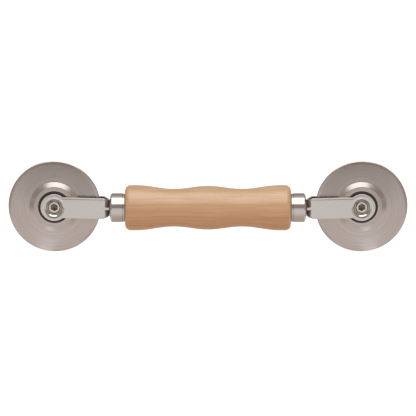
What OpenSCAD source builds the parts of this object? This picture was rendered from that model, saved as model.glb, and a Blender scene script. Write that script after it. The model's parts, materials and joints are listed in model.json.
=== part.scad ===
// Double-ended hand massage roller: a turned wood grip with a ferrule and a slim steel fork at
// each end, and a free-rolling steel wheel in each fork.
// X runs along the grip, Y along the wheels' axles, Z up. The origin is the middle of the grip.

/* [Grip] */
// Length of the visible wood
grip_len = 108; // [90:1:130]
// Diameter at the swell near each end
grip_end_d = 29.6; // [27:0.2:32]
// Diameter at each of the two waists
grip_waist_d = 24.7; // [22:0.1:26]
// Diameter at the swell in the middle
grip_mid_d = 28.6; // [26:0.2:30]
// Distance from the middle to each waist
waist_x = 22.2; // [18:0.1:26]
// Distance from the middle to each end swell
swell_x = 47; // [42:0.5:50]
// Radius of the rounded corner at each end of the wood
grip_corner_r = 3.6; // [2:0.1:4]

/* [Ferrules] */
// Outside diameter of the ferrule
ferrule_d = 19; // [18:0.1:22]
// Length from the wood to the closed end of the ferrule
ferrule_len = 9.7; // [8:0.1:14]
// Width of the narrow ring between the wood and the ferrule
collar_w = 1.4; // [1:0.1:2]
// Outside diameter of that ring
collar_d = 18.4; // [17.6:0.1:18.8]
// Diameter of the turned wood tenon inside the ferrule
tenon_d = 15.6; // [14:0.1:16]
// Thickness of the ferrule's closed end
ferrule_end_t = 2.4; // [2:0.1:3]
// Length of the chamfer on the closed end of the ferrule, along the grip
ferrule_chamfer = 0.9; // [0.5:0.1:1.5]
// Depth of that chamfer, across the grip
ferrule_bevel = 1.8; // [0.5:0.1:2.5]
// Height of the boss on the closed end, which the fork bears on
boss_h = 0.3; // [0.2:0.1:1]
// Diameter of the boss
boss_d = 12; // [7:0.5:13]

/* [Forks] */
// Distance over the two arms of a fork
fork_w = 8.8; // [8.6:0.1:9.6]
// Thickness of the strip that the fork is bent from
strip_t = 1.5; // [1.2:0.1:1.6]
// Height of the strip along the arms
arm_h = 13.7; // [12:0.1:15]
// Height of the strip where it meets the ferrule
apex_h = 10.4; // [8:0.2:12]
// Radius of the round eye at the axle
eye_r = 8.85; // [8.4:0.05:10]
// Depth of the pressed dish round the axle
dish_depth = 1.6; // [1.4:0.05:1.7]
// Diameter of the flat floor of the dish
dish_floor_d = 9; // [8.8:0.1:9.4]
// Radius of the rolled lip of the dish, on the outer face
dish_lip_r = 3; // [2.5:0.1:3.2]
// Height of the stiffening rib round the bend
rib_h = 1.8; // [1:0.1:3]
// How far the rib stands out of the bend
rib_rise = 1.6; // [0.4:0.1:1.8]
// Height of the axles over the grip's axis, which the forks lean up to reach
axle_rise = 0.9; // [0:0.1:1.5]

/* [Wheels] */
// Diameter of each wheel
wheel_d = 60; // [50:1:66]
// Distance between the two axles
wheel_span = 200; // [198:1:230]
// Thickness of the hub at its flat land
hub_w = 5.2; // [4.8:0.1:5.4]
// Diameter of the flat land on the hub
land_d = 26.4; // [24:0.2:28]
// Diameter at the foot of the hub's sloping shoulder
shoulder_d = 32.8; // [30:0.2:36]
// Thickness of the disc at the foot of the shoulder
disc_t = 1.7; // [1.5:0.1:2.2]
// Thickness of the disc at the rim
rim_t = 1.4; // [1.2:0.1:1.5]
// Diameter of the nylon bush in the hub
bush_d = 21; // [19:0.2:22]

/* [Axles] */
// Diameter of the screw head and of the nut head
head_d = 8.5; // [8:0.1:8.8]
// Thickness of each head
head_t = 1.1; // [0.9:0.1:1.3]
// Diameter of the shoulder that the wheel turns on
journal_d = 6.5; // [6:0.1:7]
// Diameter of the screw thread
thread_d = 5; // [4:0.5:5]
// Size of the hex socket across its flats
socket_af = 4; // [3:0.5:4]
// Thickness of each thrust washer
washer_t = 0.3; // [0.2:0.05:0.35]
// Gap left on the radius of the running bore
running_gap = 0.05; // [0.02:0.01:0.08]

/* [Tangs] */
// Diameter of the tang that holds the fork
tang_d = 5; // [4:0.5:5.5]
// Length of the tang inside the wood, its point included
tang_in_wood = 40; // [25:1:45]
// Diameter of the riveted head inside the fork
rivet_d = 5.4; // [5.2:0.1:5.6]

/* [Hidden] */
$fn = 96;

// Places along the grip, measured from the middle
wood_end = grip_len / 2;
collar_end = wood_end + collar_w;
ferrule_end = wood_end + ferrule_len;
tenon_end = ferrule_end - ferrule_end_t;
boss_end = ferrule_end + boss_h;
axle_x = wheel_span / 2;

// The fork is drawn level, from its bend to its eyes, then leans up from the start of the bend
lean_gap = 0.15;
fork_start = boss_end + lean_gap;
bend_x = fork_start + fork_w / 2;
eye_x = fork_start + norm([axle_x - fork_start, axle_rise]);
fork_lean = atan2(axle_rise, axle_x - fork_start);

// Distances from the wheel's mid-plane, along the axle
arm_outer = fork_w / 2;
arm_inner = arm_outer - strip_t;
floor_outer = arm_outer - dish_depth;
floor_inner = floor_outer - strip_t;
web_half = floor_inner - washer_t - 0.1;
bush_half = arm_inner - 0.2;
nut_start = floor_inner - washer_t;
nut_bore_end = floor_outer + 0.2;

// The dish: a flat floor, a 45 degree wall and a rolled lip
dish_wall = 45;
lip_inner_r = dish_lip_r - strip_t;
lip_h = arm_outer - dish_lip_r;
wall_drop = dish_depth - dish_lip_r * (1 - cos(dish_wall));
lip_x = dish_floor_d / 2 + wall_drop + dish_lip_r * sin(dish_wall);
bump_floor_r = lip_x - lip_inner_r * sin(dish_wall)
    - (lip_h + lip_inner_r * cos(dish_wall) - floor_inner);
recess_r = lip_x + 0.4;

journal_bore_d = journal_d + 2 * running_gap;
socket_depth = 2;
nut_socket_depth = 0.8;
tang_point = 6;
tip_d = 1.2;
rivet_t = 2;
rib_gap = 0.2;
clear = 1;
lip_steps = 6;
profile_steps = 12;

wood = "burlywood";
polished = "gainsboro";
nickel = "silver";
steel = "lightgray";
nylon = "#2a2826";

// Radius of the turned grip: cosine waves between the swells and the waists
function wave(a, b, t) = (a + b) / 2 + (a - b) / 2 * cos(180 * t);
function lip_point(r, a) = [lip_x - r * sin(a), lip_h + r * cos(a)];

// Half of the grip's outline, from the middle to the end of the tenon, as [x, radius]
function grip_outline() = concat(
    [for (i = [0 : profile_steps - 1])
        [waist_x * i / profile_steps, wave(grip_mid_d, grip_waist_d, i / profile_steps) / 2]],
    [for (i = [0 : profile_steps - 1])
        [waist_x + (swell_x - waist_x) * i / profile_steps,
         wave(grip_waist_d, grip_end_d, i / profile_steps) / 2]],
    [for (a = [0 : 9 : 90])
        [wood_end - grip_corner_r * (1 - sin(a)), grip_end_d / 2 - grip_corner_r * (1 - cos(a))]],
    [[wood_end, tenon_d / 2], [tenon_end, tenon_d / 2]]
);

// Puts a shape made along +Z on the axle at +X, pointing to +Y
module on_axle() translate([axle_x, 0, axle_rise]) rotate([-90, 0, 0]) children();

// The same on both eyes of the fork while it is drawn level
module on_both_eyes() for (face = [0, 1]) mirror([0, face, 0])
    translate([eye_x, 0, 0]) rotate([-90, 0, 0]) children();

// Draws its children at the right-hand end or mirrors them to the left-hand end
module at_end(side) mirror([side == "left" ? 1 : 0, 0, 0]) children();

module rod_x(x0, x1, d) translate([x0, 0, 0]) rotate([0, 90, 0]) cylinder(h = x1 - x0, d = d);

module ring(r_in, r_out, z0, z1) {
    translate([0, 0, z0]) difference() {
        cylinder(h = z1 - z0, r = r_out);
        translate([0, 0, -clear]) cylinder(h = z1 - z0 + 2 * clear, r = r_in);
    }
}

module half_grip() {
    half = grip_outline();
    rotate([0, 90, 0]) rotate_extrude()
        polygon(concat([[0, 0]], [for (p = half) [p[1], p[0]]], [[0, tenon_end]]));
}

module handle() color(wood) difference() {
    union() {
        half_grip();
        mirror([1, 0, 0]) half_grip();
    }
    at_end("right") tang_hole();
    at_end("left") tang_hole();
}

module tang_hole() {
    rod_x(tenon_end - tang_in_wood + tang_point, tenon_end + clear, tang_d);
    translate([tenon_end - tang_in_wood, 0, 0]) rotate([0, 90, 0])
        cylinder(h = tang_point, d1 = tip_d, d2 = tang_d);
}

module ferrule(side) at_end(side) color(polished) rotate([0, 90, 0]) rotate_extrude() polygon([
    [tang_d / 2, boss_end],
    [boss_d / 2, boss_end],
    [boss_d / 2, ferrule_end],
    [ferrule_d / 2 - ferrule_bevel, ferrule_end],
    [ferrule_d / 2, ferrule_end - ferrule_chamfer],
    [ferrule_d / 2, collar_end],
    [tenon_d / 2, collar_end],
    [tenon_d / 2, tenon_end],
    [tang_d / 2, tenon_end]
]);

module collar(side) at_end(side) color(polished) rotate([0, 90, 0])
    ring(tenon_d / 2, collar_d / 2, wood_end, collar_end);

// The tang's head is riveted into the inside of the fork's bend
module tang(side) at_end(side) color(nickel) {
    union() {
        rod_x(tenon_end - tang_in_wood + tang_point, fork_start + strip_t + rivet_t / 2, tang_d);
        translate([tenon_end - tang_in_wood, 0, 0]) rotate([0, 90, 0])
            cylinder(h = tang_point, d1 = tip_d, d2 = tang_d);
        intersection() {
            rod_x(fork_start + strip_t / 2, fork_start + strip_t + rivet_t, rivet_d);
            translate([bend_x, 0, -arm_h]) cylinder(h = 2 * arm_h, r = arm_inner);
        }
    }
}

// The bent strip from above: two arms joined by a half-round bend
module strip_plan() difference() {
    union() {
        translate([bend_x, 0]) circle(r = arm_outer);
        translate([bend_x, -arm_outer]) square([eye_x + eye_r - bend_x, fork_w]);
    }
    translate([bend_x, 0]) circle(r = arm_inner);
    translate([bend_x, -arm_inner]) square([axle_x, 2 * arm_inner]);
}

// The fork from the side: a tapered neck, the arms and the round eye
module fork_side() {
    translate([eye_x, 0]) circle(r = eye_r);
    polygon([
        [fork_start - clear, -apex_h / 2], [fork_start, -apex_h / 2],
        [bend_x - strip_t / 2, -arm_h / 2], [eye_x, -arm_h / 2],
        [eye_x, arm_h / 2], [bend_x - strip_t / 2, arm_h / 2],
        [fork_start, apex_h / 2], [fork_start - clear, apex_h / 2]
    ]);
}

// A narrow rib that fills the outer corners of the bend at mid-height
module bend_rib() translate([0, 0, -rib_h / 2]) linear_extrude(rib_h) difference() {
    intersection() {
        translate([bend_x, 0]) circle(r = arm_outer + rib_rise);
        translate([fork_start + rib_gap, -arm_outer]) square([arm_outer, fork_w]);
    }
    translate([bend_x, 0]) circle(r = arm_inner);
}

// The metal that the dish pushes inwards, before the dish is cut
module dish_bump() rotate_extrude() polygon(concat(
    [[0, floor_inner], [bump_floor_r, floor_inner]],
    [for (i = [lip_steps : -1 : 0]) lip_point(lip_inner_r, dish_wall * i / lip_steps)],
    [[lip_x, arm_inner + strip_t / 2], [0, arm_inner + strip_t / 2]]
));

module dish_cut() rotate_extrude() polygon(concat(
    [[0, floor_outer], [dish_floor_d / 2, floor_outer]],
    [for (i = [lip_steps : -1 : 0]) lip_point(dish_lip_r, dish_wall * i / lip_steps)],
    [[lip_x, arm_outer + clear], [0, arm_outer + clear]]
));

module level_fork() difference() {
    union() {
        intersection() {
            translate([0, 0, -eye_r]) linear_extrude(2 * eye_r) strip_plan();
            translate([0, arm_outer + clear, 0]) rotate([90, 0, 0])
                linear_extrude(2 * (arm_outer + clear)) fork_side();
        }
        on_both_eyes() dish_bump();
        bend_rib();
    }
    on_both_eyes() dish_cut();
    on_both_eyes() cylinder(h = fork_w, d = journal_bore_d);
}

module fork(side) at_end(side) color(nickel) difference() {
    translate([fork_start, 0, 0]) rotate([0, -fork_lean, 0]) translate([-fork_start, 0, 0]) level_fork();
    rod_x(ferrule_end - clear, bend_x, tang_d);
}

// The wheel's outline on one side, from the bush to the rim, as [radius, height]
module wheel(side) at_end(side) color(steel) on_axle() rotate_extrude() polygon(concat(
    [[bush_d / 2, -hub_w / 2], [land_d / 2, -hub_w / 2], [shoulder_d / 2, -disc_t / 2]],
    [for (a = [-90 : 15 : 90])
        [wheel_d / 2 - rim_t / 2 * (1 - cos(a)), rim_t / 2 * sin(a)]],
    [[shoulder_d / 2, disc_t / 2], [land_d / 2, hub_w / 2], [bush_d / 2, hub_w / 2]]
));

// Thick outside, with a thin web in the middle that clears the dishes of the fork
module hub_bush(side) at_end(side) color(nylon) on_axle() rotate_extrude() polygon([
    [journal_bore_d / 2, -web_half],
    [recess_r - (arm_inner - floor_inner), -web_half],
    [recess_r, -arm_inner + 0.5],
    [recess_r, -bush_half],
    [bush_d / 2, -bush_half],
    [bush_d / 2, bush_half],
    [recess_r, bush_half],
    [recess_r, arm_inner - 0.5],
    [recess_r - (arm_inner - floor_inner), web_half],
    [journal_bore_d / 2, web_half]
]);

// A flat head with a chamfered edge, its top at h = top and its underside at the dish floor
module head(top) {
    chamfer = 0.4;
    rotate_extrude() polygon([
        [0, floor_outer], [head_d / 2, floor_outer], [head_d / 2, top - chamfer],
        [head_d / 2 - chamfer, top], [0, top]
    ]);
}

module hex_socket(top, depth) translate([0, 0, top - depth])
    cylinder(h = depth + clear, r = socket_af / sqrt(3), $fn = 6);

// The screw enters from the front, at -Y
module axle_screw(side) at_end(side) color(polished) {
    top = floor_outer + head_t;
    mirror([0, 1, 0]) on_axle() difference() {
        union() {
            head(top);
            translate([0, 0, -nut_start]) cylinder(h = nut_start + floor_outer + 0.1, d = journal_d);
            translate([0, 0, -nut_bore_end]) cylinder(h = nut_bore_end, d = thread_d);
        }
        hex_socket(top, socket_depth);
    }
}

module axle_nut(side) at_end(side) color(polished) {
    top = floor_outer + head_t;
    on_axle() difference() {
        union() {
            head(top);
            translate([0, 0, nut_start]) cylinder(h = floor_outer - nut_start + 0.1, d = journal_d);
        }
        translate([0, 0, nut_start - clear]) cylinder(h = nut_bore_end - nut_start + clear, d = thread_d);
        hex_socket(top, nut_socket_depth);
    }
}

module washer(side, face) at_end(side) mirror([0, face == "front" ? 1 : 0, 0]) color(nickel)
    on_axle() ring(journal_bore_d / 2, bump_floor_r - 0.1, nut_start, floor_inner);

handle();
for (side = ["left", "right"]) {
    ferrule(side);
    collar(side);
    tang(side);
    fork(side);
    wheel(side);
    hub_bush(side);
    axle_screw(side);
    axle_nut(side);
    washer(side, "front");
    washer(side, "rear");
}
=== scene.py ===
"""Double-ended hand massage roller: turned wood grip, ferrules, bent steel forks and turned steel wheels.

X runs along the grip, Y along the wheels' axles, Z up. Lengths are in metres, and MM turns millimetres
into metres. The origin is the middle of the grip. Radii are taken from the grip's axis or from an axle.
"""

import json
import math

import bmesh
import bpy
from mathutils import Matrix, Vector
from mathutils.geometry import delaunay_2d_cdt


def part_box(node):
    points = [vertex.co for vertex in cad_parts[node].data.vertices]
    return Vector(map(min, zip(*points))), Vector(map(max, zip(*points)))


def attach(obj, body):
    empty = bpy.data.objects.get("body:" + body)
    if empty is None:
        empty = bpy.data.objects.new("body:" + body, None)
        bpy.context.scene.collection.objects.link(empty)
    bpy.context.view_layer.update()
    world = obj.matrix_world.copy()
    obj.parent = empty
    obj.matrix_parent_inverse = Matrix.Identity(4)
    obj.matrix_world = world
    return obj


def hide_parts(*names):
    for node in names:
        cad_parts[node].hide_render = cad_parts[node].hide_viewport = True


MM = 0.001
SIDES = {"left": -1, "right": 1}

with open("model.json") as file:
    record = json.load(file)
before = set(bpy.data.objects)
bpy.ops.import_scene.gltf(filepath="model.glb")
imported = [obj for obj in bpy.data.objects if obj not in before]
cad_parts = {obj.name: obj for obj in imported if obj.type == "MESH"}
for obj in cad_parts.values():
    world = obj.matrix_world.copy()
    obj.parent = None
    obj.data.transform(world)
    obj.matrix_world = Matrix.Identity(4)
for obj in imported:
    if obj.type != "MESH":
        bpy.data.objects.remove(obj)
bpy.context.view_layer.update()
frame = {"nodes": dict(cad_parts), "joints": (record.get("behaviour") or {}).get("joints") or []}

# ---------------------------------------------------------------- sizes taken from the frame
axle_x = max(joint["pos_m"][0] for joint in frame["joints"])
axle_z = frame["joints"][0]["pos_m"][2]
wood_end, collar_end = (corner.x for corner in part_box("right_collar"))
collar_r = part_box("right_collar")[1].z
boss_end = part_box("right_ferrule")[1].x
ferrule_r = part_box("right_ferrule")[1].z
tenon_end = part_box("handle")[1].x
grip_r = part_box("handle")[1].z
arm_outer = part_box("right_fork")[1].y
eye_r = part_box("right_fork")[1].z - axle_z
wheel_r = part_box("right_wheel")[1].z - axle_z
hub_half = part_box("right_wheel")[1].y
bush_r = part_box("right_hub_bush")[1].z - axle_z
bush_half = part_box("right_hub_bush")[1].y
head_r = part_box("right_axle_screw")[1].z - axle_z
head_top = -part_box("right_axle_screw")[0].y
screw_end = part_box("right_axle_screw")[1].y
nut_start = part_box("right_axle_nut")[0].y
floor_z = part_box("right_wheel")[0].z

# ---------------------------------------------------------------- sizes that the frame doesn't give
WAIST_X = 22.2 * MM
SWELL_X = 47 * MM
WAIST_R = 12.35 * MM
MIDDLE_R = 14.3 * MM
GRIP_CORNER_R = 3.6 * MM
TENON_R = 7.8 * MM
FERRULE_END_T = 2.4 * MM
FERRULE_CHAMFER = 0.9 * MM
FERRULE_BEVEL = 1.8 * MM
BOSS_H = 0.3 * MM
BOSS_R = 6.0 * MM
TANG_R = 2.5 * MM
ferrule_end = boss_end - BOSS_H

STRIP_T = 1.5 * MM
ARM_HALF = 6.85 * MM
# From here towards the bend the strip narrows by the slope, after a soft start
NECK_START_X = 68.0 * MM
NECK_SLOPE = 0.45
NECK_SOFT = 0.35 * MM
# Between the boss and the middle of the bend, as the fork leans
LEAN_GAP = 0.15 * MM
EYE_FILLET = 1.6 * MM
# The lowered margin along the outer face
MARGIN = 1.0 * MM
MARGIN_SLOPE = 0.3 * MM
MARGIN_DROP = 0.09 * MM
MARGIN_FILLET = 0.3 * MM
STRIP_EDGE_R = 0.14 * MM
DISH_DEPTH = 1.6 * MM
DISH_FLOOR_R = 4.5 * MM
DISH_LIP_R = 3.0 * MM
DISH_FOOT_R = 0.5 * MM
BORE_R = 3.3 * MM
RIB_HALF_H = 0.95 * MM
# The share of the rib's half height that stands out in full
RIB_TOP = 0.85
RIB_RISE = 1.6 * MM
RIB_GAP = 0.2 * MM

LAND_R = 13.2 * MM
SHOULDER_R = 16.4 * MM
DISC_HALF = 0.85 * MM
# The rim as (in from the edge, half thickness): where it starts to round off, and its shoulder
RIM_START = (1.9 * MM, 0.72 * MM)
RIM_SHOULDER = (0.55 * MM, 0.45 * MM)
RIM_EDGE_HALF = 0.16 * MM
BUSH_DISH_GAP = 0.4 * MM
BUSH_WEB_GAP = 0.4 * MM
BUSH_ARM_GAP = 0.5 * MM

JOURNAL_R = 3.25 * MM
THREAD_R = 2.5 * MM
HEAD_CHAMFER = 0.65 * MM
SOCKET_AF = 4.0 * MM
SOCKET_DEPTH = 2.0 * MM
NUT_SOCKET_DEPTH = 0.8 * MM
SOCKET_LEAD = 0.25 * MM
SOCKET_POINT = 0.9 * MM

# The fillet of a corner that is only broken
EDGE_BREAK = 0.1 * MM

# How finely things are drawn
SPIN_STEPS = 192
RING_STEPS = 96
FILLET_TURN = math.radians(9)
# How far guard points stand off from fillets, from the edge of a fork's face and on its edge
GUARD = 0.06 * MM
FACE_GUARD = 0.07 * MM
EDGE_GUARD = 0.02 * MM
# How far the close stations run on past the bend, and the edge section past the margin
BEND_OVERRUN = 0.8 * MM
MARGIN_OVERRUN = 0.05 * MM
WELD = 0.0005 * MM
SHARP_ANGLE = math.radians(32)

# ---------------------------------------------------------------- camera
CAMERA_DISTANCE = 1.35
CAMERA_ELEVATION = 11.2
FIELD_WIDTH = 271.2 * MM
SENSOR_WIDTH = 36.0
CLIP_END = 20
AIM = Vector((0, 0, -0.2 * MM))


def make_camera():
    """A long lens level with the middle of the grip, looking down a little."""
    data = bpy.data.cameras.new("camera")
    data.sensor_width = SENSOR_WIDTH
    data.lens = SENSOR_WIDTH * CAMERA_DISTANCE / FIELD_WIDTH
    data.clip_end = CLIP_END
    camera = bpy.data.objects.new("camera", data)
    bpy.context.scene.collection.objects.link(camera)
    tilt = math.radians(CAMERA_ELEVATION)
    back = Vector((0, -math.cos(tilt), math.sin(tilt)))
    camera.location = AIM + back * CAMERA_DISTANCE
    camera.rotation_mode = "QUATERNION"
    camera.rotation_quaternion = (-back).to_track_quat("-Z", "Y")
    bpy.context.scene.camera = camera


# ---------------------------------------------------------------- materials
# Colours, linear
WOOD_PALE = (0.68, 0.44, 0.26)
WOOD_MID = (0.62, 0.378, 0.200)
WOOD_DARK = (0.49, 0.268, 0.130)
WOOD_WARM = (0.64, 0.34, 0.15)
WOOD_FLECK = (0.33, 0.17, 0.08)
# Painted shade at each end of the wood, where it meets its collar
WOOD_END_SHADE = (0.26, 0.125, 0.055)
STAINLESS = (0.545, 0.5, 0.483)
# The pinker tint of the painted reflection streaks on the wheels
STAINLESS_STREAK_TINT = (0.53, 0.468, 0.444)
NICKEL = (0.66, 0.644, 0.635)
POLISHED = (0.62, 0.596, 0.573)
SCREW = (0.72, 0.68, 0.64)
# Colours of painted shade: dark in gaps, in hex sockets and round screw heads; brown on the fork's bend
CREVICE_SHADE_COLOR = (0.09, 0.065, 0.045)
BEND_SHADE_COLOR = (0.24, 0.16, 0.105)
DRAWN = (0.42, 0.38, 0.35)
NYLON_DARK = (0.016, 0.012, 0.009)
NYLON_PALE = (0.036, 0.027, 0.021)
# Where the painted shade by the collars starts and is full, in from the ends of the wood
END_SHADE_BAND = (0.9 * MM, 0.1 * MM)
# How much of the metal the painted shade hides where it is full; where it is light, on the rib and beside it
FULL_SHADE = 0.95
RIB_SHADE = (0.45, 0.6)
# How squarely the bend faces the grip where the light and the full painted shade start and are full
RIB_SHADE_FACING = (0.2, 0.7)
FULL_SHADE_FACING = (0.85, 0.98)
# How far the painted shade reaches round the ferrule's end, and past the corners of the hex socket
FERRULE_SHADE_REACH = 0.15 * MM
SOCKET_SHADE_REACH = 0.1 * MM
# The ring of painted shade on a screw's edge, measured outwards from the start of the chamfer
RIM_SHADE_STARTS = (-0.2 * MM, -0.1 * MM)
RIM_SHADE_ENDS = (0.5 * MM, 0.6 * MM)
# Bump heights of wood, metal and nylon
WOOD_RELIEF = 0.05 * MM
METAL_RELIEF = 0.01 * MM
NYLON_RELIEF = 0.02 * MM


class Nodes:
    """A node tree with short ways to add and join nodes."""

    def __init__(self, tree):
        self.tree = tree

    def add(self, kind, inputs=None, **settings):
        node = self.tree.nodes.new(kind)
        for key, value in settings.items():
            setattr(node, key, value)
        for key, value in (inputs or {}).items():
            self.put(node.inputs[key], value)
        return node

    def put(self, socket, value):
        if isinstance(value, bpy.types.NodeSocket):
            self.tree.links.new(value, socket)
        else:
            socket.default_value = value

    def math(self, operation, *values):
        node = self.add("ShaderNodeMath", operation=operation)
        for socket, value in zip(node.inputs, values):
            self.put(socket, value)
        return node.outputs[0]

    def place(self, scale=(1, 1, 1)):
        """Object coordinates, scaled along each axis."""
        coords = self.add("ShaderNodeTexCoord").outputs["Object"]
        return self.add("ShaderNodeMapping", {"Vector": coords, "Scale": scale}).outputs["Vector"]

    def part(self, vector, axis):
        """One of the vector's three components."""
        return self.add("ShaderNodeSeparateXYZ", {"Vector": vector}).outputs[axis]

    def off_middle(self, axis):
        """The distance from the object's middle plane, along one axis."""
        return self.math("ABSOLUTE", self.part(self.place(), axis))

    def off_axle(self):
        """The distance from the local Y axis."""
        place = self.place()
        x, z = self.part(place, "X"), self.part(place, "Z")
        return self.math("SQRT", self.math("ADD", self.math("MULTIPLY", x, x), self.math("MULTIPLY", z, z)))

    def noise(self, vector, scale, detail, roughness):
        return self.add("ShaderNodeTexNoise", {
            "Vector": vector, "Scale": scale, "Detail": detail, "Roughness": roughness}).outputs["Fac"]

    def grain(self, scale, detail=3.0, roughness=0.5):
        """Noise in object coordinates. The scale is one number, or one for each axis."""
        stretch = scale if isinstance(scale, tuple) else (scale, scale, scale)
        return self.noise(self.place(stretch), 1.0, detail, roughness)

    def rings(self, radius, scale, detail):
        """Noise that only changes with the radius."""
        return self.add("ShaderNodeTexNoise", {"W": radius, "Scale": scale, "Detail": detail},
                        noise_dimensions="1D").outputs["Fac"]

    def ramp(self, factor, stops):
        node = self.add("ShaderNodeValToRGB", {"Fac": factor})
        elements = node.color_ramp.elements
        while len(elements) < len(stops):
            elements.new(0.5)
        for element, (position, color) in zip(elements, stops):
            element.position = position
            element.color = (*color, 1)
        return node.outputs["Color"]

    def span(self, value, low, high):
        """Maps 0..1 onto low..high."""
        return self.add("ShaderNodeMapRange", {
            "Value": value, "To Min": low, "To Max": high}).outputs["Result"]

    def smooth(self, value, start, end):
        """A soft step from 0 at start to 1 at end."""
        return self.add("ShaderNodeMapRange", {
            "Value": value, "From Min": start, "From Max": end},
            interpolation_type="SMOOTHSTEP").outputs["Result"]

    def mix(self, factor, a, b):
        node = self.add("ShaderNodeMix", data_type="RGBA")
        self.put(node.inputs["Factor"], factor)
        self.put(node.inputs["A"], a if isinstance(a, bpy.types.NodeSocket) else (*a, 1))
        self.put(node.inputs["B"], b if isinstance(b, bpy.types.NodeSocket) else (*b, 1))
        return node.outputs["Result"]

    def bump(self, height, strength, distance):
        return self.add("ShaderNodeBump", {
            "Height": height, "Strength": strength, "Distance": distance}).outputs["Normal"]


class Surface(Nodes):
    """A material's node tree, and its shader's values by name."""

    def __init__(self, name):
        self.material = bpy.data.materials.new(name)
        self.material.use_nodes = True
        super().__init__(self.material.node_tree)
        self.shader = self.tree.nodes["Principled BSDF"]

    def set(self, **values):
        for key, value in values.items():
            self.put(self.shader.inputs[key.replace("_", " ")], value)


def darkened(color, factor):
    return tuple(factor * c for c in color)


def gray(level):
    return (level, level, level)


def wood_material():
    """Pale straight-grained wood under a satin varnish, with painted shade at each end where it meets its
    collar.
    """
    n = Surface("varnished_wood")
    drift = n.grain((14, 30, 80), 2.0)
    fibre = n.grain((24, 400, 1500), 3.0, 0.55)
    streak = n.grain((7, 110, 620))
    fleck = n.grain((300, 4200, 4200), 1.0)
    patch = n.grain((26, 50, 50), 2.0)
    tone = n.ramp(streak, [(0.22, WOOD_DARK), (0.50, WOOD_MID), (0.80, WOOD_PALE)])
    tone = n.mix(n.smooth(fibre, 0.42, 0.85), tone, WOOD_DARK)
    tone = n.mix(n.ramp(patch, [(0.55, gray(0)), (0.80, gray(0.5))]), tone, WOOD_WARM)
    tone = n.mix(n.ramp(drift, [(0.35, gray(0)), (0.75, gray(0.35))]), tone, WOOD_PALE)
    tone = n.mix(n.ramp(fleck, [(0.66, gray(0)), (0.72, gray(0.3))]), tone, WOOD_FLECK)
    # Painted shade in the crease at each end, where the wood meets its collar
    end = n.smooth(n.off_middle("X"), *(wood_end - reach for reach in END_SHADE_BAND))
    tone = n.mix(n.math("MULTIPLY", end, 0.92), tone, WOOD_END_SHADE)
    n.set(Base_Color=tone, Roughness=n.span(fibre, 0.38, 0.5), Specular_IOR_Level=0.5,
          Coat_Weight=0.9, Coat_Roughness=0.28,
          Normal=n.bump(fibre, 0.1, WOOD_RELIEF))
    return n.material


def plated_material(name, color, roughness, smear, shade_mask=None, shade_color=None):
    """Smooth metal with faint wipe marks. Its mask function says where painted shade, dull and dark, hides
    the metal.
    """
    n = Surface(name)
    wipe = n.grain(160, 3.0, 0.6)
    fine = n.grain(2600, 2.0)
    tone = n.mix(wipe, darkened(color, 0.93), color)
    n.set(Metallic=1.0)
    # Painted shade: where the mask says, a dull dark layer stands in for the metal
    if shade_mask:
        shade_amount = shade_mask(n)
        tone = n.mix(shade_amount, tone, shade_color)
        n.set(Metallic=n.math("SUBTRACT", 1.0, shade_amount), Specular_IOR_Level=0.1)
    n.set(Base_Color=tone, Roughness=n.span(wipe, roughness - smear, roughness + smear),
          Normal=n.bump(fine, 0.04, METAL_RELIEF))
    return n.material


def shade_past_ferrule(n):
    """Painted shade on whatever lies past the ferrule's end, in the narrow gap."""
    return n.math("MULTIPLY", n.smooth(n.off_middle("X"), ferrule_end - FERRULE_SHADE_REACH, ferrule_end), FULL_SHADE)


def shade_on_bend(n):
    """Painted shade on the side of the bend that faces the grip: light along the rib, full deep in the gap.
    """
    normal = n.add("ShaderNodeTexCoord").outputs["Normal"]
    outward = n.math("MULTIPLY", n.part(normal, "X"), n.math("SIGN", n.part(n.place(), "X")))
    facing = n.math("MULTIPLY", outward, -1.0)
    off_rib = n.smooth(n.off_middle("Z"), 0.8 * RIB_HALF_H, 1.1 * RIB_HALF_H)
    shade_on_rib = n.math("MULTIPLY", n.smooth(facing, *RIB_SHADE_FACING), n.span(off_rib, *RIB_SHADE))
    shade_in_gap = n.math("MULTIPLY", n.smooth(facing, *FULL_SHADE_FACING), FULL_SHADE)
    on_bend = n.math("LESS_THAN", n.off_middle("X"), bend_x)
    return n.math("MULTIPLY", n.math("MAXIMUM", shade_on_rib, shade_in_gap), on_bend)


def screw_material():
    """Bright plated steel, with painted shade inside the hex socket and round the head's edge."""
    n = Surface("bright_screw")
    radius = n.off_axle()
    # Painted shade inside the hex socket and in a ring round the head's edge, patchy with the smudge noise
    within = n.math("LESS_THAN", radius, SOCKET_AF / math.sqrt(3) + SOCKET_SHADE_REACH)
    below = n.math("LESS_THAN", n.off_middle("Y"), head_top - 0.2 * SOCKET_LEAD)
    edge = head_r - HEAD_CHAMFER
    rim = n.math("SUBTRACT", n.smooth(radius, *(edge + reach for reach in RIM_SHADE_STARTS)),
                 n.smooth(radius, *(edge + reach for reach in RIM_SHADE_ENDS)))
    smudge = n.grain(900)
    shade_mask = n.math("MAXIMUM", n.math("MULTIPLY", within, below), n.math("MULTIPLY", rim, FULL_SHADE))
    shade_mask = n.math("MULTIPLY", shade_mask, n.span(smudge, 0.75, 1.0))
    bright = n.mix(smudge, darkened(SCREW, 0.92), SCREW)
    n.set(Base_Color=n.mix(shade_mask, bright, CREVICE_SHADE_COLOR), Metallic=1.0, Roughness=n.span(smudge, 0.18, 0.28),
          Normal=n.bump(smudge, 0.05, METAL_RELIEF))
    return n.material


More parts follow.
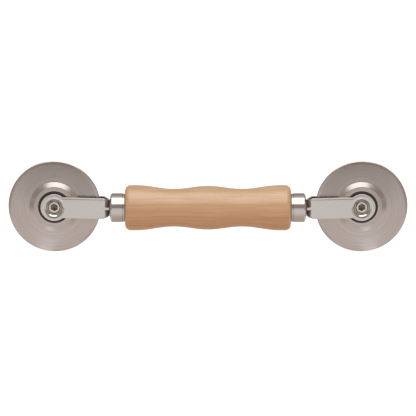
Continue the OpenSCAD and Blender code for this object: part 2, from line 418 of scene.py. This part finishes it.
def turned_material():
    """Lathe-turned stainless: the finish runs round the axle, so highlights spread across it."""
    n = Surface("turned_stainless")
    radius = n.off_axle()
    groove = n.rings(radius, 5200.0, 3.0)
    broad = n.rings(radius, 420.0, 2.0)
    # Painted reflection: light and dark streaky sectors at random angles round the axle, some tinted pinker
    place = n.place()
    angle = n.math("ARCTAN2", n.part(place, "Z"), n.part(place, "X"))
    around = n.add("ShaderNodeCombineXYZ", {
        "X": n.math("MULTIPLY", n.math("COSINE", angle), 2.2),
        "Y": n.math("MULTIPLY", n.math("SINE", angle), 2.2),
        "Z": n.math("MULTIPLY", radius, 60.0)}).outputs[0]
    sector = n.noise(around, 3.4, 5.0, 0.7)
    tone = n.mix(n.smooth(broad, 0.3, 0.7), darkened(STAINLESS, 0.87), STAINLESS)
    tone = n.mix(n.smooth(sector, 0.35, 0.65), tone, STAINLESS_STREAK_TINT)
    tangent = n.add("ShaderNodeTangent", direction_type="RADIAL", axis="Y").outputs[0]
    n.set(Base_Color=tone, Metallic=1.0, Roughness=n.span(groove, 0.19, 0.27),
          Anisotropic=0.75, Tangent=tangent, Normal=n.bump(groove, 0.06, METAL_RELIEF))
    return n.material


def nylon_material():
    """Black moulded nylon, slightly mottled."""
    n = Surface("black_nylon")
    mottle = n.grain(900)
    n.set(Base_Color=n.mix(mottle, NYLON_DARK, NYLON_PALE),
          Roughness=n.span(mottle, 0.42, 0.6), Normal=n.bump(mottle, 0.15, NYLON_RELIEF))
    return n.material


# ---------------------------------------------------------------- mesh tools
def filleted(corners, closed=False, turn=FILLET_TURN, guard=GUARD):
    """An outline from corners (radius, height, fillet): each fillet is a run of short steps with a
    guard point at each end, so that smooth shading stays inside the fillet."""
    count = len(corners)
    path = []
    for i, (r, h, fillet) in enumerate(corners):
        here = Vector((r, h))
        if not closed and i in (0, count - 1):
            path.append(here)
            continue
        before = Vector(corners[i - 1][:2]) - here
        after = Vector(corners[(i + 1) % count][:2]) - here
        opening = before.angle(after)
        if fillet <= 0 or opening > math.pi - 1e-3:
            path.append(here)
            continue
        bend = math.pi - opening
        reach = fillet * math.tan(bend / 2)
        a, b = before.normalized(), after.normalized()
        centre = here + (a + b).normalized() * (fillet / math.cos(bend / 2))
        start = here + a * reach - centre
        sweep = start.angle_signed(here + b * reach - centre)
        steps = max(2, math.ceil(abs(sweep) / turn))
        if before.length > reach + 2 * guard:
            path.append(here + a * (reach + guard))
        for k in range(steps + 1):
            path.append(centre + Matrix.Rotation(-sweep * k / steps, 2) @ start)
        if after.length > reach + 2 * guard:
            path.append(here + b * (reach + guard))
    return path


def spun(name, outline, along, closed=False):
    """A turned solid. The outline is (radius, height) points, or (function of the angle, height) where the
    section isn't round; heights run along local X or Y. An open outline ends on the axis."""
    mesh = bmesh.new()
    rings = []
    for radius, height in outline:
        if radius == 0:
            rings.append([mesh.verts.new(round_axis(0, 0, height, along))])
            continue
        ring = []
        for k in range(SPIN_STEPS):
            angle = 2 * math.pi * k / SPIN_STEPS
            r = radius(angle) if callable(radius) else radius
            ring.append(mesh.verts.new(round_axis(r, angle, height, along)))
        rings.append(ring)
    following = rings[1:] + (rings[:1] if closed else [])
    for low, high in zip(rings, following):
        join_rings(mesh, low, high)
    return finished(name, mesh)


def round_axis(r, angle, height, along):
    """The point at a radius and an angle round the local X or Y axis."""
    if along == "X":
        return (height, r * math.cos(angle), r * math.sin(angle))
    return (r * math.cos(angle), height, r * math.sin(angle))


def join_rings(mesh, low, high):
    """Faces between two closed loops of equal length, or between a loop and a single point."""
    steps = max(len(low), len(high))
    for k in range(steps):
        corners = [low[k % len(low)], low[(k + 1) % len(low)], high[(k + 1) % len(high)], high[k % len(high)]]
        mesh.faces.new(list(dict.fromkeys(corners)))


def finished(name, mesh):
    """Turns a bmesh into an object: welded, faces outwards, smooth but for real corners."""
    bmesh.ops.remove_doubles(mesh, verts=mesh.verts, dist=WELD)
    bmesh.ops.recalc_face_normals(mesh, faces=mesh.faces)
    for face in mesh.faces:
        face.smooth = True
    for edge in mesh.edges:
        edge.smooth = len(edge.link_faces) != 2 or edge.calc_face_angle() < SHARP_ANGLE
    data = bpy.data.meshes.new(name)
    mesh.to_mesh(data)
    mesh.free()
    piece = bpy.data.objects.new(name, data)
    bpy.context.scene.collection.objects.link(piece)
    return piece


def settle(piece, material, body, node):
    """Gives a piece its material and slot, and lets it ride in place of its CAD node."""
    piece.data.materials.append(material)
    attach(piece, body)
    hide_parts(node)


# ---------------------------------------------------------------- grip
def wave(a, b, t):
    """A cosine blend from a at t = 0 to b at t = 1."""
    return (a + b) / 2 + (a - b) / 2 * math.cos(math.pi * t)


def grip_profile():
    """Half of the grip, from the middle to the tenon's end, as (radius, x)."""
    steps = 40
    profile = []
    for k in range(steps):
        profile.append((wave(MIDDLE_R, WAIST_R, k / steps), WAIST_X * k / steps))
    for k in range(steps + 1):
        profile.append((wave(WAIST_R, grip_r, k / steps), WAIST_X + (SWELL_X - WAIST_X) * k / steps))
    corner = filleted([
        (grip_r, SWELL_X, 0), (grip_r, wood_end, GRIP_CORNER_R), (TENON_R, wood_end, 0),
        (TENON_R, tenon_end, 0.4 * MM), (0, tenon_end, 0)], turn=math.radians(6))
    return profile + [tuple(point) for point in corner[1:]]


def make_handle():
    half = grip_profile()
    outline = [(r, -x) for r, x in reversed(half)] + half[1:]
    handle = spun("wood_grip", outline, "X")
    settle(handle, wood_material(), "handle", "handle")


# ---------------------------------------------------------------- ferrules and collars
def make_ferrule(side, material):
    sign = SIDES[side]
    corners = [
        (TANG_R, boss_end, EDGE_BREAK), (BOSS_R, boss_end, EDGE_BREAK), (BOSS_R, ferrule_end, EDGE_BREAK),
        (ferrule_r - FERRULE_BEVEL, ferrule_end, 0.3 * MM),
        (ferrule_r, ferrule_end - FERRULE_CHAMFER, 0.7 * MM),
        (ferrule_r, collar_end, 0.12 * MM),
        (TENON_R, collar_end, EDGE_BREAK),
        (TENON_R, ferrule_end - FERRULE_END_T, 0.2 * MM),
        (TANG_R, ferrule_end - FERRULE_END_T, EDGE_BREAK)]
    outline = [(r, sign * x) for r, x in filleted(corners, closed=True)]
    ferrule = spun(f"{side}_polished_ferrule", outline, "X", closed=True)
    settle(ferrule, material, "handle", f"{side}_ferrule")


def make_collar(side, material):
    sign = SIDES[side]
    corners = [
        (TENON_R, wood_end, EDGE_BREAK), (collar_r, wood_end, 0.4 * MM),
        (collar_r, collar_end, 0.12 * MM), (TENON_R, collar_end, EDGE_BREAK)]
    outline = [(r, sign * x) for r, x in filleted(corners, closed=True)]
    collar = spun(f"{side}_collar_ring", outline, "X", closed=True)
    settle(collar, material, "handle", f"{side}_collar")


# ---------------------------------------------------------------- forks
# The fork is laid out flat as a blank in (s, z): s runs round the bend from its middle to the eyes.
# It is folded level, then leans up from its bend to the axle.
fork_start = boss_end + LEAN_GAP
bend_x = fork_start + arm_outer
mid_r = arm_outer - STRIP_T / 2
arm_start = mid_r * math.pi / 2
eye_s = arm_start + math.hypot(axle_x - fork_start, axle_z) - arm_outer
fork_lean = math.atan2(axle_z, axle_x - fork_start)
lip_h = arm_outer - DISH_LIP_R
floor_h = arm_outer - DISH_DEPTH
wall_end_r = DISH_FLOOR_R + DISH_DEPTH - DISH_LIP_R * (1 - math.cos(math.pi / 4))
lip_x = wall_end_r + DISH_LIP_R * math.sin(math.pi / 4)


def neck_half(s):
    """Half of the strip's height at s: it narrows round the bend."""
    turn = min(abs(s) / mid_r, math.pi / 2)
    x = bend_x - arm_outer * math.cos(turn) + max(0, abs(s) - arm_start)
    short = max(0, NECK_START_X - x)
    return ARM_HALF - NECK_SLOPE * short ** 2 / (short + NECK_SOFT)


def half_outline(inset):
    """The blank's edge from the bend's middle to the far side of the eye, moved in by inset."""
    fillet_s = math.sqrt((eye_r + EYE_FILLET) ** 2 - (ARM_HALF + EYE_FILLET) ** 2)
    points = [Vector((s, neck_half(s) - inset)) for s in bend_stations()]
    arm_steps = 10
    bend_end = points[-1].x
    straight = eye_s - fillet_s - bend_end
    points += [Vector((bend_end + straight * k / arm_steps, ARM_HALF - inset)) for k in range(1, arm_steps)]
    centre = Vector((eye_s - fillet_s, ARM_HALF + EYE_FILLET))
    to_eye = math.atan2(-centre.y, fillet_s)
    start = -math.pi / 2
    steps = 8
    for k in range(steps):
        a = start + (to_eye - start) * k / steps
        points.append(centre + Vector((math.cos(a), math.sin(a))) * (EYE_FILLET + inset))
    lead = to_eye + math.pi
    steps = 36
    for k in range(steps + 1):
        a = lead * (1 - k / steps)
        points.append(Vector((eye_s + (eye_r - inset) * math.cos(a), (eye_r - inset) * math.sin(a))))
    return points


def bend_stations():
    """Places along the blank, from the middle of the bend to just past it."""
    steps = 20
    end = arm_start + BEND_OVERRUN
    return [end * k / steps for k in range(steps + 1)]


def whole_outline(inset):
    """The full closed edge of the blank: both arms, both eyes."""
    half = half_outline(inset)
    front = half + [Vector((p.x, -p.y)) for p in reversed(half[:-1])]
    rear = [Vector((-p.x, p.y)) for p in reversed(front[1:-1])]
    return front + rear


def outer_height(r):
    """The outer face's height over the wheel's mid-plane, at r from the axle."""
    reach = DISH_FOOT_R * math.tan(math.pi / 8)
    foot = DISH_FLOOR_R - reach
    if r <= foot:
        return floor_h
    if r <= DISH_FLOOR_R + reach * math.cos(math.pi / 4):
        return floor_h + DISH_FOOT_R - math.sqrt(DISH_FOOT_R ** 2 - (r - foot) ** 2)
    if r <= wall_end_r:
        return floor_h + r - DISH_FLOOR_R
    if r < lip_x:
        return lip_h + math.sqrt(DISH_LIP_R ** 2 - (lip_x - r) ** 2)
    return arm_outer


def inner_height(r):
    """The inner face's height: the outer face moved in by the strip's thickness."""
    foot = DISH_FLOOR_R - DISH_FOOT_R * math.tan(math.pi / 8)
    round_r = DISH_FOOT_R + STRIP_T
    lip_r = DISH_LIP_R - STRIP_T
    lip_start = lip_x - lip_r * math.sin(math.pi / 4)
    if r <= foot:
        return floor_h - STRIP_T
    if r <= foot + round_r * math.sin(math.pi / 4):
        return floor_h - STRIP_T + round_r - math.sqrt(round_r ** 2 - (r - foot) ** 2)
    if r <= lip_start:
        return lip_h + lip_r * math.cos(math.pi / 4) + r - lip_start
    if r < lip_x:
        return lip_h + math.sqrt(lip_r ** 2 - (lip_x - r) ** 2)
    return arm_outer - STRIP_T


def rib_height(s, z):
    """How far the stiffening rib stands out of the bend at s, z."""
    turn = abs(s) / mid_r
    if turn >= math.pi / 2 or turn < 1e-6:
        return 0
    reach = min(arm_outer + RIB_RISE, arm_outer / math.sin(turn), (arm_outer - RIB_GAP) / math.cos(turn))
    across = min(max((abs(z) / RIB_HALF_H - RIB_TOP) / (1 - RIB_TOP), 0), 1)
    return max(0, reach - arm_outer) * (1 - across * across * (3 - 2 * across))


def folded(s, z, n, sign):
    """The place in the row frame of a point on the blank, n outside its middle layer."""
    if abs(s) <= arm_start:
        turn = s / mid_r
        x = bend_x - (mid_r + n) * math.cos(turn)
        y = -(mid_r + n) * math.sin(turn)
    else:
        x = bend_x + abs(s) - arm_start
        y = -math.copysign(mid_r + n, s)
    return (sign * x, y, z)


def face_offset(s, z, outer):
    """How far the outer or inner face lies outside the blank's middle layer."""
    r = math.hypot(abs(s) - eye_s, z)
    if r <= lip_x:
        return (outer_height(r) if outer else inner_height(r)) - mid_r
    return STRIP_T / 2 + rib_height(s, z) if outer else -STRIP_T / 2


def inside(point, polygon):
    """Whether a line from the point crosses the polygon's edge an odd number of times."""
    hit = False
    for a, b in zip(polygon, polygon[1:] + polygon[:1]):
        if (a.y > point.y) != (b.y > point.y):
            if point.x < a.x + (point.y - a.y) * (b.x - a.x) / (b.y - a.y):
                hit = not hit
    return hit


def face_layout(inset):
    """Triangles over one face of the blank: its edge, the rings round each eye and lines across the bend."""
    points, edges = [], []

    def add_run(run, closed):
        first = len(points)
        points.extend(run)
        links = [(first + k, first + k + 1) for k in range(len(run) - 1)]
        edges.extend(links + ([(first + len(run) - 1, first)] if closed else []))

    edge = whole_outline(inset)
    add_run(edge, True)
    add_run(whole_outline(inset + FACE_GUARD), True)
    for s in sorted({sign * s for s in bend_stations() for sign in (-1, 1)}):
        limit = neck_half(s) - inset - FACE_GUARD
        side = [RIB_HALF_H * (RIB_TOP + (1 - RIB_TOP) * k / 5) for k in range(7)]
        upper = [0.2 * RIB_HALF_H] + side + [limit * t for t in (0.4, 0.6, 0.8)]
        add_run([Vector((s, z)) for z in [-z for z in reversed(upper)] + upper], False)
    for centre in (-eye_s, eye_s):
        for r in eye_rings():
            add_run([Vector((centre + r * math.cos(a), r * math.sin(a))) for a in ring_angles()], True)
    flat = [Vector((p.x / MM, p.y / MM)) for p in points]
    spots, _, faces, _, _, _ = delaunay_2d_cdt(flat, edges, [], 0, 1e-5)
    spots = [Vector((p.x * MM, p.y * MM)) for p in spots]
    kept = []
    for face in faces:
        middle = sum((spots[i] for i in face), Vector((0, 0))) / len(face)
        hole = math.hypot(abs(middle.x) - eye_s, middle.y) < BORE_R
        if not hole and inside(middle, edge):
            kept.append(face)
    return spots, kept


def ring_angles():
    return [2 * math.pi * k / RING_STEPS for k in range(RING_STEPS)]


def eye_rings():
    """Radii that follow the dish: bore, floor, foot, wall and lip."""
    reach = DISH_FOOT_R * math.tan(math.pi / 8)
    foot, wall = DISH_FLOOR_R - reach, DISH_FLOOR_R + reach * math.cos(math.pi / 4)
    radii = [BORE_R, foot - GUARD]
    radii += [foot + (wall - foot) * k / 4 for k in range(5)]
    radii += [wall + (wall_end_r - wall) * k / 3 for k in range(1, 4)]
    radii += [lip_x - DISH_LIP_R * math.sin(math.pi / 4 * (1 - k / 9)) for k in range(1, 10)]
    return radii + [lip_x + GUARD]


def edge_section():
    """The strip's nearly square edge from the inner face to the outer face, as (inset, offset). A margin
    along the outer face lies a little lower than the rest of it."""
    inner, outer = -STRIP_T / 2, STRIP_T / 2
    corners = [
        (2 * STRIP_EDGE_R, inner, 0), (0, inner, STRIP_EDGE_R), (0, outer - MARGIN_DROP, STRIP_EDGE_R),
        (MARGIN, outer - MARGIN_DROP, MARGIN_FILLET), (MARGIN + MARGIN_SLOPE, outer, MARGIN_FILLET),
        (MARGIN + MARGIN_SLOPE + MARGIN_OVERRUN, outer, 0)]
    return [tuple(point) for point in filleted(corners, turn=math.radians(5), guard=EDGE_GUARD)]


def make_fork(side, material):
    sign = SIDES[side]
    mesh = bmesh.new()
    section = edge_section()
    loops = []
    for inset, n in section:
        loops.append([mesh.verts.new(folded(p.x, p.y, n, sign)) for p in whole_outline(inset)])
    for low, high in zip(loops, loops[1:]):
        join_rings(mesh, low, high)
    for outer, inset in ((False, section[0][0]), (True, section[-1][0])):
        spots, faces = face_layout(inset)
        verts = [mesh.verts.new(folded(p.x, p.y, face_offset(p.x, p.y, outer), sign)) for p in spots]
        for face in faces:
            mesh.faces.new([verts[i] for i in face])
    for centre in (-eye_s, eye_s):
        rim = [(centre + BORE_R * math.cos(t), BORE_R * math.sin(t)) for t in ring_angles()]
        low = [mesh.verts.new(folded(s, z, face_offset(s, z, False), sign)) for s, z in rim]
        high = [mesh.verts.new(folded(s, z, face_offset(s, z, True), sign)) for s, z in rim]
        join_rings(mesh, low, high)
    loose = [v for v in mesh.verts if not v.link_faces]
    bmesh.ops.delete(mesh, geom=loose, context="VERTS")
    bmesh.ops.rotate(mesh, verts=mesh.verts, cent=(sign * fork_start, 0, 0),
                     matrix=Matrix.Rotation(-sign * fork_lean, 3, "Y"))
    fork = finished(f"{side}_bent_fork", mesh)
    settle(fork, material, "handle", f"{side}_fork")


# ---------------------------------------------------------------- wheels, bushes and axles
def at_axle(piece, side):
    piece.location = (SIDES[side] * axle_x, 0, axle_z)
    return piece


def make_wheel(side, material):
    face = [
        (bush_r, hub_half, 0.12 * MM), (LAND_R, hub_half, 0.5 * MM), (SHOULDER_R, DISC_HALF, 0.9 * MM),
        (wheel_r - RIM_START[0], RIM_START[1], 1.5 * MM),
        (wheel_r - RIM_SHOULDER[0], RIM_SHOULDER[1], 0.35 * MM), (wheel_r, RIM_EDGE_HALF, 0.22 * MM)]
    corners = face + [(r, -h, fillet) for r, h, fillet in reversed(face)]
    wheel = at_axle(spun(f"{side}_turned_wheel", filleted(corners, closed=True), "Y", closed=True), side)
    settle(wheel, material, f"{side}_wheel", f"{side}_wheel")


def make_bush(side, material):
    recess_r = lip_x + BUSH_DISH_GAP
    floor_inner = floor_h - STRIP_T
    arm_inner = arm_outer - STRIP_T
    web_half = floor_inner - BUSH_WEB_GAP
    web_r = recess_r - (arm_inner - floor_inner)
    face = [
        (BORE_R, web_half, EDGE_BREAK), (web_r, web_half, 0.3 * MM),
        (recess_r, arm_inner - BUSH_ARM_GAP, 0.15 * MM), (recess_r, bush_half, 0.12 * MM),
        (bush_r, bush_half, 0.2 * MM)]
    corners = face + [(r, -h, fillet) for r, h, fillet in reversed(face)]
    bush = at_axle(spun(f"{side}_nylon_bush", filleted(corners, closed=True), "Y", closed=True), side)
    settle(bush, material, f"{side}_wheel", f"{side}_hub_bush")


def hexagon(across_flats):
    """The radius of a hexagon as a function of the angle."""
    def radius(angle):
        sector = math.pi / 3
        return across_flats / 2 / math.cos((angle + sector / 2) % sector - sector / 2)
    return radius


def headed(body, socket_depth):
    """The outline of a turned body that ends in a head, then down the hex socket to the axis."""
    corners = body + [
        (JOURNAL_R, floor_h, 0.05 * MM), (head_r, floor_h, 0.08 * MM),
        (head_r, head_top - HEAD_CHAMFER, 0.3 * MM), (head_r - HEAD_CHAMFER, head_top, 0.25 * MM),
        (SOCKET_AF / 2, head_top, 0)]
    socket_floor = head_top - socket_depth
    socket = [
        (hexagon(SOCKET_AF + 2 * SOCKET_LEAD), head_top), (hexagon(SOCKET_AF), head_top - SOCKET_LEAD),
        (hexagon(SOCKET_AF), socket_floor), (0, socket_floor - SOCKET_POINT)]
    return [tuple(point) for point in filleted(corners)[:-1]] + socket


def make_screw(side, material):
    shank = [
        (0, -screw_end, 0), (THREAD_R, -screw_end, 0.25 * MM), (THREAD_R, -nut_start, 0.05 * MM),
        (JOURNAL_R, -nut_start, EDGE_BREAK)]
    outline = [(r, -h) for r, h in headed(shank, SOCKET_DEPTH)]
    screw = at_axle(spun(f"{side}_socket_screw", outline, "Y"), side)
    settle(screw, material, "handle", f"{side}_axle_screw")


def make_nut(side, material):
    barrel = [(0, nut_start, 0), (THREAD_R, nut_start, EDGE_BREAK), (JOURNAL_R, nut_start, EDGE_BREAK)]
    nut = at_axle(spun(f"{side}_barrel_nut", headed(barrel, NUT_SOCKET_DEPTH), "Y"), side)
    settle(nut, material, "handle", f"{side}_axle_nut")


# ---------------------------------------------------------------- stage
FLOOR_SIZE = 16
FLOOR_PAINT = (0.2, 0.2, 0.2)
# The floor's glow: as the camera sees it, and as the object does in each part of it
FLOOR_SEEN = (1, 1, 1)
FLOOR_MIRRORED = (0.66, 0.611, 0.57)
FLOOR_BENEATH = (0.46, 0.367, 0.294)
FLOOR_BESIDE = (0.2, 0.16, 0.134)
FLOOR_FILL = (0.50, 0.31, 0.20)
FLOOR_POOL = (0.9, 0.874, 0.863)
# Half sizes as (full up to, gone from): the brighter pool below each wheel, the shade and the paper
POOL_X = 107 * MM
POOL_HALF_WIDTH = (2 * MM, 8 * MM)
POOL_HALF_LENGTH = (32 * MM, 66 * MM)
SHADE_HALF_WIDTH = (12 * MM, 48 * MM)
SHADE_HALF_LENGTH = (66 * MM, 84 * MM)
PAPER_HALF_WIDTH = (175 * MM, 235 * MM)
SOFTBOX_SIZE = (0.9, 0.95)
SOFTBOX_PLACE = Vector((0, -0.345, 0.815))
SOFTBOX_POWER = 4.5
SOFTBOX_COLOR = (1, 1, 1)
SHEEN_POWER = 3.0
SHEEN_COLOR = (0.82, 0.97, 1.12)
AIR_LIGHT = 0.60
# What metal reflects of the room, by the sine of the height above the horizon
ROOM = (
    (0.09, (0.8, 0.743, 0.694)), (0.13, (0.385, 0.324, 0.285)), (0.62, (0.385, 0.324, 0.285)),
    (0.80, (0.49, 0.442, 0.401)), (0.91, (0.57, 0.526, 0.49)), (0.99, (0.8, 0.743, 0.694)))
FLAG_PAINT = (0.02, 0.018, 0.016)
FLAG_REACH = (86 * MM, 140 * MM)
FLAG_HEIGHT = 105 * MM
FLAG_Y = -300 * MM


def make_floor():
    """White paper on a table. It stays white to the eye, but glows less on the object: dimmer and warmer
    below the grip, brighter in a narrow pool below each wheel, and darker beyond the paper's edges."""
    mesh = bmesh.new()
    bmesh.ops.create_grid(mesh, x_segments=8, y_segments=8, size=FLOOR_SIZE / 2)
    floor = finished("floor", mesh)
    floor.location.z = floor_z
    n = Surface("pale_floor")
    off_x, off_y = n.off_middle("X"), n.off_middle("Y")
    from_pool = n.math("ABSOLUTE", n.math("SUBTRACT", off_x, POOL_X))
    dry = n.math("MAXIMUM", n.smooth(from_pool, *POOL_HALF_WIDTH), n.smooth(off_y, *POOL_HALF_LENGTH))
    pool = n.math("SUBTRACT", 1.0, dry)
    clear = n.math("MAXIMUM", n.smooth(off_y, *SHADE_HALF_WIDTH), n.smooth(off_x, *SHADE_HALF_LENGTH))
    glow = n.mix(clear, FLOOR_BENEATH, n.mix(pool, FLOOR_MIRRORED, FLOOR_POOL))
    glow = n.mix(n.smooth(off_x, *PAPER_HALF_WIDTH), glow, FLOOR_BESIDE)
    path = n.add("ShaderNodeLightPath")
    glow = n.mix(path.outputs["Is Diffuse Ray"], glow, FLOOR_FILL)
    glow = n.mix(path.outputs["Is Camera Ray"], glow, FLOOR_SEEN)
    n.set(Base_Color=(*FLOOR_PAINT, 1), Roughness=1.0, Specular_IOR_Level=0.0,
          Emission_Color=glow, Emission_Strength=1.0)
    floor.data.materials.append(n.material)


def make_flags():
    """Two dark cards in front of the wheels, out of the camera's sight, to shade their upper halves."""
    n = Surface("dark_flag")
    n.set(Base_Color=(*FLAG_PAINT, 1), Roughness=0.9, Specular_IOR_Level=0.0)
    flag_top = floor_z + FLAG_HEIGHT
    for side, sign in SIDES.items():
        near, far = (sign * reach for reach in FLAG_REACH)
        mesh = bmesh.new()
        corners = [(near, floor_z), (far, floor_z), (far, flag_top), (near, flag_top)]
        mesh.faces.new([mesh.verts.new((x, FLAG_Y, z)) for x, z in corners])
        flag = finished(f"{side}_flag", mesh)
        flag.data.materials.append(n.material)
        flag.visible_camera = False
        flag.visible_diffuse = False
        flag.visible_shadow = False


def make_softbox(name, power, color, on_matt=True):
    """A large soft light over the front of the object. Its sheen twin only shows on glossy surfaces."""
    data = bpy.data.lights.new(name, "AREA")
    data.shape = "RECTANGLE"
    data.size, data.size_y = SOFTBOX_SIZE
    data.energy = power
    data.color = color
    light = bpy.data.objects.new(name, data)
    light.location = SOFTBOX_PLACE
    light.rotation_mode = "QUATERNION"
    light.rotation_quaternion = (-SOFTBOX_PLACE).to_track_quat("-Z", "Y")
    light.visible_diffuse = on_matt
    bpy.context.scene.collection.objects.link(light)


def make_world():
    """A pale room. What polished metal reflects has a darker band above the horizon, as in a studio."""
    world = bpy.data.worlds.new("studio")
    bpy.context.scene.world = world
    world.use_nodes = True
    world.node_tree.nodes.clear()
    n = Nodes(world.node_tree)
    height = n.part(n.add("ShaderNodeTexCoord").outputs["Generated"], "Z")
    air = n.add("ShaderNodeBackground", {"Color": (1, 1, 1, 1), "Strength": AIR_LIGHT})
    mirrored = n.add("ShaderNodeBackground", {"Color": n.ramp(height, ROOM)})
    glossy = n.add("ShaderNodeLightPath").outputs["Is Glossy Ray"]
    mix = n.add("ShaderNodeMixShader", {"Fac": glossy, 1: air.outputs[0], 2: mirrored.outputs[0]})
    n.add("ShaderNodeOutputWorld", {"Surface": mix.outputs[0]})


# ---------------------------------------------------------------- build
make_camera()
make_floor()
make_flags()
make_softbox("softbox", SOFTBOX_POWER, SOFTBOX_COLOR)
make_softbox("softbox_sheen", SHEEN_POWER, SHEEN_COLOR, on_matt=False)
make_world()
bpy.context.scene.view_settings.view_transform = "Standard"

polished = plated_material("polished_ferrule", POLISHED, 0.08, 0.02, shade_past_ferrule, CREVICE_SHADE_COLOR)
nickel = plated_material("nickel_plate", NICKEL, 0.17, 0.03, shade_on_bend, BEND_SHADE_COLOR)
bright_screw = screw_material()
drawn_steel = plated_material("drawn_steel", DRAWN, 0.32, 0.06)
drawn_tang = plated_material("drawn_tang", DRAWN, 0.32, 0.06, shade_past_ferrule, CREVICE_SHADE_COLOR)
stainless = turned_material()
nylon = nylon_material()

make_handle()
for side in SIDES:
    make_ferrule(side, polished)
    make_collar(side, polished)
    make_fork(side, nickel)
    make_wheel(side, stainless)
    make_bush(side, nylon)
    make_screw(side, bright_screw)
    make_nut(side, bright_screw)
    for kept, steel in (("tang", drawn_tang), ("front_washer", drawn_steel), ("rear_washer", drawn_steel)):
        node = frame["nodes"][f"{side}_{kept}"]
        node.data.materials.clear()
        node.data.materials.append(steel)
